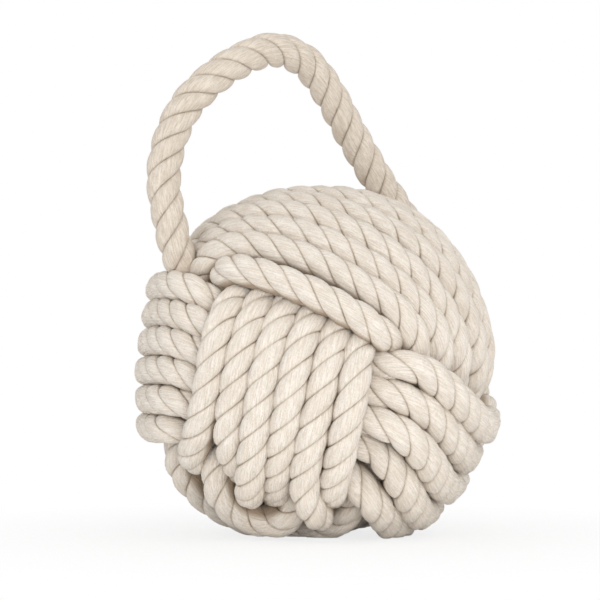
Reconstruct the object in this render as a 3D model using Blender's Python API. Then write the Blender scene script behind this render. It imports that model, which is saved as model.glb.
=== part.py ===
# Rope knot doorstop: a monkey's fist ball of three-strand cotton rope over a
# round sand bag, with a rope loop on top to lift it by.
# Metres, +Z up, the side that faces a viewer looks along -Y.
# The knot is worked out in millimetres as right, up and toward the viewer.

import bmesh
import bpy
import numpy as np
from mathutils import Matrix

mm = 0.001
carryRopeSize = 16.0
turnSize = 11.0
turnSides = 1
carrySides = 3
surfaceLine = 76.4
crossingDepth = 12.8
deepestDive = 9.0
turnSpacing = 11.85
diveStart = 1.68
diveLength = 20.72
topTurns = 8
frontTurns = 6
sideTurns = 6
topPoints = 214
frontPoints = 157
sidePoints = 145
settleRounds = 2500
footPress = 2.0
footCut = 1.1
restGap = 0.3
bagThickness = 1.2
bagGap = 0.3
mouthRadius = 12.0
coreSteps = 24
coreRings = 12
carryPointStep = 9.0
leftRoot = (-59.8, 45.4, 34.0)
rightRoot = (44.0, 66.0, -22.0)

# middle line of each set of turns round the ball as directions, and the
# distance between two turns there in millimetres
topLine = [
    ((0.93, -0.05, 0.36), 13.4), ((0.80, -0.56, 0.22), 12.6), ((0.47, -0.88, -0.03), 12.6),
    ((-0.07, -0.98, -0.17), 12.6), ((-0.58, -0.81, -0.10), 12.3), ((-0.91, -0.40, -0.10), 12.0),
    ((-0.99, 0.10, -0.08), 12.0), ((-0.88, 0.47, -0.02), 12.0), ((-0.60, 0.80, 0.10), 12.8),
    ((-0.28, 0.92, 0.26), 13.8), ((0.045, 0.88, 0.47), 14.6), ((0.42, 0.73, 0.53), 14.2),
    ((0.77, 0.38, 0.51), 13.8)]
frontLine = [
    ((0.10, 0.75, 0.65), 12.9), ((0.18, 0.98, 0.00), 12.9), ((0.17, 0.75, -0.64), 13.2),
    ((0.11, 0.19, -0.98), 13.6), ((0.00, -0.45, -0.89), 13.4), ((-0.13, -0.90, -0.42), 12.9),
    ((-0.20, -0.95, 0.22), 12.9), ((-0.20, -0.77, 0.61), 12.9), ((-0.17, -0.45, 0.88), 13.0),
    ((-0.11, -0.10, 0.99), 13.0), ((-0.02, 0.36, 0.93), 12.9)]
sideLine = [
    ((-0.12, -0.10, 0.99), 12.0), ((-0.63, 0.02, 0.78), 12.6), ((-0.90, 0.03, 0.43), 12.9),
    ((-1.00, 0.00, 0.00), 12.9), ((-0.87, -0.01, -0.50), 12.6), ((-0.45, -0.02, -0.89), 12.3),
    ((0.10, -0.12, -0.98), 12.3), ((0.54, -0.32, -0.77), 12.3), ((0.76, -0.52, -0.38), 12.6),
    ((0.73, -0.66, 0.15), 12.6), ((0.58, -0.56, 0.60), 12.3), ((0.32, -0.33, 0.89), 12.2)]

# the loop between its roots: right and up of the ball's middle
carryLine = [
    (-64.4, 62.0), (-66.0, 73.0), (-67.2, 86.2), (-64.9, 100.1), (-59.8, 114.0), (-50.5, 125.6),
    (-38.0, 136.3), (-26.4, 142.8), (-14.8, 145.5), (-3.2, 140.9), (6.0, 130.2),
    (15.3, 114.0), (24.6, 97.8), (36.0, 83.0)]

for item in list(bpy.data.objects):
    bpy.data.objects.remove(item)

shown = bpy.data.collections.new("rope_knot_doorstop")
bpy.context.scene.collection.children.link(shown)
tools = bpy.data.collections.new("cutters")
bpy.context.scene.collection.children.link(tools)


def unit(v):
    return v / np.linalg.norm(v, axis=-1, keepdims=True)


def smooth(x):
    x = np.clip(x, 0, 1)
    return x * x * (3 - 2 * x)


class Band:
    """One set of turns: a middle line round the ball, and turns laid side by side along it."""

    def __init__(self, line, turns, shift, first, begin, end):
        keys = unit(np.array([key[0] for key in line], float))
        pitches = np.array([key[1] for key in line], float)
        count = 720
        places = []
        pitch = []
        for i in range(len(keys)):
            a = keys[i - 1]
            b = keys[i]
            c = keys[(i + 1) % len(keys)]
            e = keys[(i + 2) % len(keys)]
            for j in range(40):
                u = j / 40
                bend = (2 * a - 5 * b + 4 * c - e) * u * u + (3 * b - a - 3 * c + e) * u ** 3
                places.append(0.5 * (2 * b + (c - a) * u + bend))
                nextPitch = pitches[(i + 1) % len(keys)]
                pitch.append(pitches[i] + (nextPitch - pitches[i]) * smooth(u))
        places = unit(np.array(places))
        steps = np.linalg.norm(np.roll(places, -1, 0) - places, axis=1)
        run = np.concatenate([[0], np.cumsum(steps)])
        even = np.arange(count) / count * run[-1]
        closed = np.vstack([places, places[:1]])
        self.middle = unit(np.stack([np.interp(even, run, closed[:, k]) for k in range(3)], 1))
        self.pitch = np.interp(even, run, np.append(pitch, pitch[0]))
        for _ in range(200):
            ahead = np.roll(self.middle, -1, 0)
            behind = np.roll(self.middle, 1, 0)
            self.middle = unit((behind + 2 * self.middle + ahead) / 4)
        forward = unit(np.roll(self.middle, -1, 0) - np.roll(self.middle, 1, 0))
        self.side = unit(np.cross(forward, self.middle))
        self.count = count
        self.turns = turns
        self.shift = shift
        self.first = first
        self.begin = begin
        self.end = end
        u = np.arange(count) / count
        self.low = self.ringMean(self.offset(u + np.ceil(begin - u)))
        self.high = self.ringMean(self.offset(u + np.floor(end - u)))

    def ringMean(self, values):
        width = 25
        half = width // 2
        ring = np.concatenate([values[-half:], values, values[:half]])
        return np.convolve(ring, np.ones(width) / width, mode="valid")

    def offset(self, t):
        start, stop = self.shift
        turn = np.floor(t - start)
        across = smooth((t - start - turn) / (stop - start))
        return turn - self.first - self.turns / 2 - 0.5 + across

    def direction(self, t, radius):
        u = (t % 1.0) * self.count
        i = np.floor(u).astype(int) % self.count
        f = (u - np.floor(u))[:, None]
        j = (i + 1) % self.count
        middle = unit(self.middle[i] * (1 - f) + self.middle[j] * f)
        side = self.side[i] * (1 - f) + self.side[j] * f
        side = unit(side - middle * np.sum(side * middle, 1, keepdims=True))
        pitch = self.pitch[i] * (1 - f[:, 0]) + self.pitch[j] * f[:, 0]
        angle = (self.offset(t) * pitch / radius)[:, None]
        return middle * np.cos(angle) + side * np.sin(angle)

    def cover(self, q):
        i = np.argmax(q @ self.middle.T, 1)
        across = np.arcsin(np.clip(np.sum(q * self.side[i], 1), -1, 1)) * surfaceLine
        above = across - self.high[i] * self.pitch[i]
        below = self.low[i] * self.pitch[i] - across
        return 1 - smooth((np.maximum(above, below) - diveStart) / diveLength)


def turnLine(band, over):
    t = np.arange(band.begin, band.end + 0.002, 0.004)
    radius = np.full(len(t), surfaceLine)
    for _ in range(4):
        q = band.direction(t, radius)
        radius = surfaceLine - crossingDepth * over.cover(q)
    return q * radius[:, None]


def spread(points, count):
    """The line again with a set number of points, closer together where it bends."""
    steps = np.linalg.norm(np.diff(points, axis=0), axis=1)
    run = np.concatenate([[0], np.cumsum(steps)])
    heading = np.gradient(points, run, axis=0)
    bend = np.linalg.norm(np.gradient(heading, run, axis=0), axis=1)
    bend = np.convolve(bend, np.ones(9) / 9, mode="same")
    weight = 1 + 26 * np.clip(bend - 0.012, 0, 0.07)
    work = np.concatenate([[0], np.cumsum((weight[1:] + weight[:-1]) / 2 * steps)])
    at = np.interp(np.linspace(0, work[-1], count), work, run)
    return np.stack([np.interp(at, run, points[:, k]) for k in range(3)], 1)


def tighten(lines):
    """The turns pushed apart to their spacing, over and under as they were laid."""
    home = np.vstack(lines)
    homeRadius = np.linalg.norm(home, axis=1)
    p = home.copy()
    starts = np.concatenate([[0], np.cumsum([len(line) for line in lines])])
    segments = [np.arange(a, b - 1) for a, b in zip(starts[:-1], starts[1:])]
    inside = np.zeros((len(p), 1))
    for segment in segments:
        inside[segment[1:]] = 1
    floorLine = -(surfaceLine - footPress)
    for turn in range(settleRounds + 1):
        if turn == 0 or turn == int(settleRounds * 0.8):
            samples = 3 if turn == 0 else 7
            owner = np.concatenate([np.full(len(s) * samples, w) for w, s in enumerate(segments)])
            index = np.concatenate([np.repeat(s, samples) for s in segments])
            part = np.tile(np.arange(samples) / samples, len(index) // samples)[:, None]
        q = p[index] * (1 - part) + p[index + 1] * part
        if turn % 20 == 0 or turn == settleRounds:
            run = np.cumsum(np.linalg.norm(p[index + 1] - p[index], axis=1) / samples) + owner * 1e4
            square = np.sum(q * q, 1)
            apart = square[:, None] + square[None, :] - 2 * q @ q.T
            near = (apart < (turnSpacing + 5) ** 2) & (run[None, :] - run[:, None] > 2.4 * turnSpacing)
            one, two = np.where(near)
            rises = homeRadius[index[one]] - homeRadius[index[two]]
            order = np.where(rises > 5, -1, np.where(rises < -5, 1, 0))
        v = q[two] - q[one]
        distance = np.linalg.norm(v, axis=1)
        if turn == settleRounds:
            break
        early = turn <= settleRounds * 0.6
        last = turn > settleRounds * 0.8
        over = np.clip(turnSpacing - distance, 0, None)
        up = unit(q[one] + q[two])
        rise = np.sum(v * up, axis=1)
        flat = v - rise[:, None] * up
        close = (order != 0) & (np.linalg.norm(flat, axis=1) < 0.75 * turnSpacing)
        wrong = close & (rise * order < 0)
        low = close & (rise * order < 0.35 * turnSpacing)
        rise = np.where(low, order * 0.6 * turnSpacing, rise)
        flat = np.where(low[:, None], flat * 0.5, flat)
        if turn < settleRounds * 0.8:
            rise = np.where(order == 0, rise * 0.25, rise)
        v = flat + rise[:, None] * up
        over = np.where(wrong, turnSpacing, over)
        length = np.maximum(np.linalg.norm(v, axis=1), 1e-6)
        push = v / length[:, None] * (np.minimum(over, 4) * 0.5)[:, None]
        move = np.zeros_like(p)
        weight = np.zeros(len(p))
        touching = (over > 0).astype(float)
        for sign, k in ((-1, one), (1, two)):
            f = part[k]
            np.add.at(move, index[k], sign * push * (1 - f))
            np.add.at(move, index[k] + 1, sign * push * f)
            np.add.at(weight, index[k], touching * (1 - f[:, 0]))
            np.add.at(weight, index[k] + 1, touching * f[:, 0])
        p = p + move / np.maximum(weight, 1)[:, None] * 1.1
        stiff = 0.03 if early else 0.001 if last else 0.006
        p[1:-1] += stiff * ((p[:-2] + p[2:]) / 2 - p[1:-1]) * inside[1:-1]
        p += (0.02 if early else 0.0002 if last else 0.004) * (home - p)
        radius = np.linalg.norm(p, axis=1, keepdims=True)
        lowest = surfaceLine - crossingDepth - deepestDive
        p = p / radius * np.clip(radius, lowest, surfaceLine + 0.5)
        p[:, 1] = np.maximum(p[:, 1], floorLine)
    return [p[a:b] for a, b in zip(starts[:-1], starts[1:])], distance.min()


def cloth(name, colour, roughness):
    material = bpy.data.materials.new(name)
    material.use_nodes = True
    shader = material.node_tree.nodes["Principled BSDF"]
    shader.inputs["Base Color"].default_value = (*colour, 1.0)
    shader.inputs["Roughness"].default_value = roughness
    return material


def keep(name, data, material, collection=shown):
    item = bpy.data.objects.new(name, data)
    item.data.materials.clear()
    item.data.materials.append(material)
    collection.objects.link(item)
    return item


def world(points, height):
    """Right, up and toward the viewer in millimetres, to the object's own axes."""
    return np.stack([points[:, 0], -points[:, 2], points[:, 1] + height], 1) * mm


def ropeCurve(name, points, sizes, diameter, resolution):
    curve = bpy.data.curves.new(name, "CURVE")
    curve.dimensions = "3D"
    curve.bevel_depth = diameter / 2 * mm
    curve.bevel_resolution = resolution
    curve.use_fill_caps = True
    spline = curve.splines.new("POLY")
    spline.points.add(len(points) - 1)
    for point, place, size in zip(spline.points, points, sizes):
        point.co = (*place, 1.0)
        point.radius = size
    return curve


def meshOf(curve, name):
    holder = bpy.data.objects.new(name + "_line", curve)
    tools.objects.link(holder)
    holder.hide_render = True
    holder.display_type = "WIRE"
    bpy.context.view_layer.update()
    graph = bpy.context.evaluated_depsgraph_get()
    mesh = bpy.data.meshes.new_from_object(holder.evaluated_get(graph))
    bpy.data.objects.remove(holder)
    bpy.data.curves.remove(curve)
    mesh.name = name
    return mesh


def turned(name, profile, height):
    """A closed body from a profile of radius and height spun round the upright axis."""
    mesh = bpy.data.meshes.new(name)
    shape = bmesh.new()
    ring = [shape.verts.new((r * mm, 0.0, z * mm)) for r, z in profile]
    edges = [shape.edges.new(pair) for pair in zip(ring[:-1], ring[1:])]
    bmesh.ops.spin(shape, geom=ring + edges, cent=(0, 0, 0), axis=(0, 0, 1),
                   angle=2 * np.pi, steps=coreSteps, use_duplicate=False)
    bmesh.ops.remove_doubles(shape, verts=shape.verts, dist=1e-6)
    bmesh.ops.translate(shape, verts=shape.verts, vec=(0, 0, height * mm))
    bmesh.ops.recalc_face_normals(shape, faces=shape.faces)
    shape.to_mesh(mesh)
    shape.free()
    return mesh


def arc(radius, start, stop, count):
    angles = np.linspace(start, stop, count)
    return [(radius * float(np.sin(a)), radius * float(np.cos(a))) for a in angles]


def restAt(place, knot):
    """The point under a place, toward the ball, where the loop's round end rests on the turns."""
    clear = carryRopeSize / 2 + turnSize / 2 + restGap
    way = unit(np.array(place))
    for reach in np.arange(100.0, 70.0, -0.02):
        if np.linalg.norm(knot - way * reach, axis=1).min() < clear:
            break
    return way * (reach + 0.02)


bandTop = Band(topLine, topTurns, (0.0, 0.6), 0, -0.44, 8.48)
bandFront = Band(frontLine, frontTurns, (0.15, 0.6), 0, 0.06, 6.58)
bandSide = Band(sideLine, sideTurns, (0.9, 1.12), -1, -0.03, 5.98)
laid = [turnLine(bandTop, bandSide), turnLine(bandFront, bandTop), turnLine(bandSide, bandFront)]
laid = [spread(line, count) for line, count in zip(laid, (topPoints, frontPoints, sidePoints))]
knotLines, leastDistance = tighten(laid)
knotPoints = np.vstack(knotLines)
print("least gap between turns, millimetres:", round(float(leastDistance - turnSize), 3))

cottonTop = cloth("cotton_top_turns", (0.80, 0.74, 0.62), 0.85)
cottonFront = cloth("cotton_front_turns", (0.82, 0.76, 0.64), 0.85)
cottonSide = cloth("cotton_side_turns", (0.78, 0.72, 0.60), 0.85)
cottonLoop = cloth("cotton_carry_loop", (0.83, 0.77, 0.66), 0.85)
bagCloth = cloth("canvas_bag", (0.55, 0.48, 0.36), 0.9)
patchCloth = cloth("canvas_patch", (0.50, 0.43, 0.32), 0.9)
sand = cloth("sand_filling", (0.60, 0.50, 0.34), 0.95)

# turns of the knot; the lowest ones are cut flat where the ball stands
meshes = []
for name, line in zip(("top_turns", "front_turns", "side_turns"), knotLines):
    curve = ropeCurve(name, world(line, 0.0), np.ones(len(line)), turnSize, turnSides)
    meshes.append(meshOf(curve, name))
lowest = min(vertex.co.z for mesh in meshes for vertex in mesh.vertices)
ballHeight = -lowest / mm - footCut
print("height of the ball's middle, millimetres:", round(ballHeight, 3))
bodies = []
for mesh, material in zip(meshes, (cottonTop, cottonFront, cottonSide)):
    mesh.transform(Matrix.Translation((0, 0, ballHeight * mm)))
    bodies.append(keep(mesh.name, mesh, material))

floorBlock = bpy.data.meshes.new("foot_cutter")
block = bmesh.new()
bmesh.ops.create_cube(block, size=0.2)
bmesh.ops.translate(block, verts=block.verts, vec=(0, 0, -0.1))
block.to_mesh(floorBlock)
block.free()
cutter = keep("foot_cutter", floorBlock, cottonTop, tools)
cutter.hide_render = True
cutter.display_type = "WIRE"
for body in bodies:
    lowest = min(vertex.co.z for vertex in body.data.vertices)
    print(body.name, "lowest before the cut, millimetres:", round(lowest / mm, 3))
    if lowest < 0:
        flat = body.modifiers.new("foot", "BOOLEAN")
        flat.operation = "DIFFERENCE"
        flat.solver = "EXACT"
        flat.object = cutter

# sand bag in the middle
samples = [line[:-1] * (1 - f) + line[1:] * f for line in knotLines for f in np.arange(8) / 8]
knotSamples = np.vstack(samples + [line[-1:] for line in knotLines])
bagRadius = float(np.linalg.norm(knotSamples, axis=1).min()) - turnSize / 2 - restGap
print("bag radius, millimetres:", round(bagRadius, 3))
insideRadius = bagRadius - bagThickness
mouthAngle = float(np.arcsin(mouthRadius / bagRadius))
mouthInside = float(np.arcsin(mouthRadius / insideRadius))
shell = arc(insideRadius, np.pi, mouthInside, coreRings) + arc(bagRadius, mouthAngle, np.pi, coreRings)
shell[0] = (0.0, -insideRadius)
shell[-1] = (0.0, -bagRadius)
keep("core_bag", turned("core_bag", shell, ballHeight), bagCloth)
fillRadius = insideRadius - bagGap
ball = arc(fillRadius, 0.0, mouthInside, 4)[:-1] + arc(fillRadius, mouthInside, np.pi, coreRings)
ball[0] = (0.0, fillRadius)
ball[-1] = (0.0, -fillRadius)
keep("core_filling", turned("core_filling", ball, ballHeight), sand)
patchRadius = mouthRadius - bagGap
patchAngle = float(np.arcsin(patchRadius / bagRadius))
patchInside = float(np.arcsin(patchRadius / insideRadius))
patch = arc(insideRadius, 0.0, patchInside, 4) + arc(bagRadius, patchAngle, 0.0, 4)
patch[0] = (0.0, insideRadius)
patch[-1] = (0.0, bagRadius)
keep("mouth_patch", turned("mouth_patch", patch, ballHeight), patchCloth)

# carrying loop: round ends that turn in place on the line through both roots
left = restAt(leftRoot, knotSamples)
right = restAt(rightRoot, knotSamples)
keys = [left]
for x, y in carryLine:
    share = (x - left[0]) / (right[0] - left[0])
    share = min(max(share, 0.0), 1.0)
    keys.append(np.array([x, y, left[2] + (right[2] - left[2]) * smooth(share)]))
keys.append(right)
keys = np.array(keys)
ends = np.vstack([2 * keys[0] - keys[1], keys, 2 * keys[-1] - keys[-2]])
fine = []
for i in range(1, len(ends) - 2):
    a, b, c, e = ends[i - 1], ends[i], ends[i + 1], ends[i + 2]
    for u in np.arange(20) / 20:
        bend = (2 * a - 5 * b + 4 * c - e) * u * u + (3 * b - a - 3 * c + e) * u ** 3
        fine.append(0.5 * (2 * b + (c - a) * u + bend))
fine = np.vstack([fine, keys[-1:]])
run = np.concatenate([[0], np.cumsum(np.linalg.norm(np.diff(fine, axis=0), axis=1))])
count = int(round(run[-1] / carryPointStep)) + 1
even = np.linspace(0, run[-1], count)
loopLine = np.stack([np.interp(even, run, fine[:, k]) for k in range(3)], 1)
print("loop length, millimetres:", round(float(run[-1]), 2))
startWay = unit(loopLine[0] - loopLine[1])
stopWay = unit(loopLine[-1] - loopLine[-2])
rounds = np.radians([88.0, 65.0, 42.0, 20.0])
before = [loopLine[0] + startWay * carryRopeSize / 2 * np.sin(a) for a in rounds]
after = [loopLine[-1] + stopWay * carryRopeSize / 2 * np.sin(a) for a in rounds[::-1]]
sizes = np.concatenate([np.cos(rounds), np.ones(count), np.cos(rounds[::-1])])
loopPoints = world(np.vstack([before, loopLine, after]), ballHeight)
curve = ropeCurve("carry_loop", loopPoints, sizes, carryRopeSize, carrySides)
keep("carry_loop", meshOf(curve, "carry_loop"), cottonLoop)

# the middle of the whole object's outline comes to stand over the origin
corners = np.array([vertex.co for item in shown.objects for vertex in item.data.vertices])
middle = (corners.min(0) + corners.max(0)) / 2
shift = (-middle[0], -middle[1], 0.0)
for item in shown.objects:
    item.data.transform(Matrix.Translation(shift))
print("ball middle, metres:", np.round([shift[0], shift[1], ballHeight * mm], 6).tolist())
axis = world(np.array([left, right]), ballHeight) + np.array(shift)
print("loop axis from", np.round(axis[0], 6).tolist(), "to", np.round(axis[1], 6).tolist())
gapNow = min(float(np.linalg.norm(knotSamples - p, axis=1).min()) for p in loopLine)
print("loop to turns, millimetres:", round(gapNow - (carryRopeSize + turnSize) / 2, 3))
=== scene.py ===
import math

import bpy
import numpy as np
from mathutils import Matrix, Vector


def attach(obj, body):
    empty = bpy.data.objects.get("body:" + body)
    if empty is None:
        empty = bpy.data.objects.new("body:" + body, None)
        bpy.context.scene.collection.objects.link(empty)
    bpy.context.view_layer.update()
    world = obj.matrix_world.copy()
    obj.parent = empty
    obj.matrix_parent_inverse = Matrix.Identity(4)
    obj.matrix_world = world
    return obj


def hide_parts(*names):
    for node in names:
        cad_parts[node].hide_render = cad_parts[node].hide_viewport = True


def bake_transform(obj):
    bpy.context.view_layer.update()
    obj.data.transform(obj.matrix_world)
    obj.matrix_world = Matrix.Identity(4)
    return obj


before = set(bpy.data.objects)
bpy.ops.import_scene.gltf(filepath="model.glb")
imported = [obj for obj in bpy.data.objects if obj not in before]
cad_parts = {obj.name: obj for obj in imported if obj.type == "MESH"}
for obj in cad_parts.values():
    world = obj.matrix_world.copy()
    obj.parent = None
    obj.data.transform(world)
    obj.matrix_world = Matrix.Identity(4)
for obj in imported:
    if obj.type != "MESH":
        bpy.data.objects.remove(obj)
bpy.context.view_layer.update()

print("frame loaded")

# Places on the knot are (right, up, front) in millimetres from the middle of the ball, as in part.py.
ballMiddle = (0.000026, 0.001735, 0.07845)
fullTurn = 2 * math.pi


def place(right, up, front):
    return (ballMiddle[0] + right / 1000, ballMiddle[1] - front / 1000, ballMiddle[2] + up / 1000)


cameraSettings = {
    "name": "camera",
    "sensorWidth": 36,
    "distance": 1.3,
    "frameWidth": 0.2781,  # metres across the picture at that distance
    "target": (-0.0055, 0.0017, 0.1090),
}


def makeCamera(settings):
    data = bpy.data.cameras.new(settings["name"])
    data.sensor_width = settings["sensorWidth"]
    data.lens = settings["sensorWidth"] * settings["distance"] / settings["frameWidth"]
    camera = bpy.data.objects.new(settings["name"], data)
    x, y, z = settings["target"]
    camera.location = (x, y - settings["distance"], z)
    camera.rotation_euler = (math.pi / 2, 0, 0)
    bpy.context.collection.objects.link(camera)
    bpy.context.scene.camera = camera


makeCamera(cameraSettings)
print("camera made")


class Wiring:
    def __init__(self, tree):
        self.tree = tree

    def feed(self, socket, value):
        if isinstance(value, bpy.types.NodeSocket):
            self.tree.links.new(value, socket)
        else:
            socket.default_value = value

    def node(self, kind, inputs=None, **settings):
        made = self.tree.nodes.new(kind)
        for name, value in settings.items():
            setattr(made, name, value)
        for name, value in (inputs or {}).items():
            self.feed(made.inputs[name], value)
        return made

    def maths(self, operation, *values):
        made = self.node("ShaderNodeMath", operation=operation)
        for socket, value in zip(made.inputs, values):
            self.feed(socket, value)
        return made.outputs[0]

    def vector(self, operation, *values):
        made = self.node("ShaderNodeVectorMath", operation=operation)
        for socket, value in zip(made.inputs, values):
            self.feed(socket, value)
        return made

    def scaled(self, vector, factor):
        inputs = {"Vector": vector, "Scale": factor}
        return self.node("ShaderNodeVectorMath", inputs, operation="SCALE").outputs["Vector"]

    def joined(self, x, y, z):
        return self.node("ShaderNodeCombineXYZ", {"X": x, "Y": y, "Z": z}).outputs[0]

    def split(self, vector):
        return self.node("ShaderNodeSeparateXYZ", {"Vector": vector}).outputs

    def ranged(self, value, low, high, newLow=0.0, newHigh=1.0):
        made = self.node("ShaderNodeMapRange", {
            "Value": value, "From Min": low, "From Max": high, "To Min": newLow, "To Max": newHigh})
        return made.outputs["Result"]

    def noise(self, spot, values, dimensions="3D"):
        inputs = {"Vector": spot, **values}
        return self.node("ShaderNodeTexNoise", inputs, noise_dimensions=dimensions).outputs["Fac"]

    # A colour Mix node shows its factor as input 0 and its colours as inputs 6 and 7 and output 2.
    def mixed(self, share, colour, other):
        made = self.node("ShaderNodeMix", data_type="RGBA")
        for socket, value in ((0, share), (6, colour), (7, other)):
            self.feed(made.inputs[socket], value)
        return made.outputs[2]

    def stored(self, geometry, name, value, kind="FLOAT"):
        inputs = {"Geometry": geometry, "Name": name, "Value": value}
        made = self.node("GeometryNodeStoreNamedAttribute", inputs, data_type=kind, domain="POINT")
        return made.outputs["Geometry"]

    def named(self, name, kind="FLOAT"):
        made = self.node("GeometryNodeInputNamedAttribute", {"Name": name}, data_type=kind)
        return made.outputs["Attribute"]

    # 1 where the camera sees a surface, straight on or in a gloss or glass
    def seenByCamera(self):
        rays = self.node("ShaderNodeLightPath").outputs
        mirrored = self.maths("MAXIMUM", rays["Is Glossy Ray"], rays["Is Transmission Ray"])
        return self.maths("MAXIMUM", rays["Is Camera Ray"], mirrored)


def addSockets(tree, inputs, outputs):
    for direction, sockets in (("INPUT", inputs), ("OUTPUT", outputs)):
        for name, kind in sockets:
            tree.interface.new_socket(name, in_out=direction, socket_type="NodeSocket" + kind)


ropeShape = {
    "strands": 3,
    "seamPull": 1.5,  # crowds the ring's points toward the seams
    "strandRound": 2.0,
    "unevenScale": 140.0,
    "unevenDetail": 1.0,
    "swellRange": (0.45, 0.95),  # how nearly a place faces the swell, from none of it to all of it
    "inputs": [
        ("Geometry", "Geometry"), ("Radius", "Float"), ("Lay Length", "Float"), ("Spacing", "Float"),
        ("Around", "Int"), ("Ball Middle", "Vector"), ("Side Press", "Float"), ("Shoulder", "Float"),
        ("Groove Depth", "Float"), ("Floor", "Float"), ("Unevenness", "Float"), ("Seed", "Float"),
        ("Swell", "Float"), ("Swell Toward", "Vector"), ("Material", "Material"),
    ],
}


# The cross-section of a laid rope, a ring of round strands with seams between them.
def strandRing(wiring, given, settings):
    halfStrand = math.pi / settings["strands"]
    ring = wiring.node("GeometryNodeCurvePrimitiveCircle", {
        "Resolution": given["Around"], "Radius": 1.0}, mode="RADIUS").outputs["Curve"]
    x, y, z = wiring.split(wiring.node("GeometryNodeInputPosition").outputs[0])
    angle = wiring.maths("ARCTAN2", y, x)
    folded = wiring.maths("WRAP", angle, halfStrand, -halfStrand)
    share = wiring.maths("DIVIDE", wiring.maths("ABSOLUTE", folded), halfStrand)
    inner = wiring.maths("POWER", wiring.maths("SUBTRACT", 1.0, share), settings["seamPull"])
    nearer = wiring.maths("SUBTRACT", 1.0, inner)
    signed = wiring.maths("MULTIPLY", nearer, wiring.maths("SIGN", folded))
    moved = wiring.maths("MULTIPLY", signed, halfStrand)
    angle = wiring.maths("ADD", wiring.maths("SUBTRACT", angle, folded), moved)
    bow = wiring.maths("SUBTRACT", 1.0, wiring.maths("POWER", nearer, settings["strandRound"]))
    fall = wiring.maths("SQRT", wiring.maths("MAXIMUM", 0.0, bow))
    depth = given["Groove Depth"]
    reach = wiring.maths("ADD", wiring.maths("MULTIPLY", fall, depth), wiring.maths("SUBTRACT", 1.0, depth))
    ring = wiring.stored(ring, "groove", nearer)
    spoke = wiring.joined(wiring.maths("COSINE", angle), wiring.maths("SINE", angle), 0.0)
    ring = wiring.stored(ring, "ropeAngle", angle)
    spot = wiring.scaled(spoke, wiring.maths("MULTIPLY", reach, given["Radius"]))
    return wiring.node("GeometryNodeSetPosition", {"Geometry": ring, "Position": spot}).outputs["Geometry"]


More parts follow.
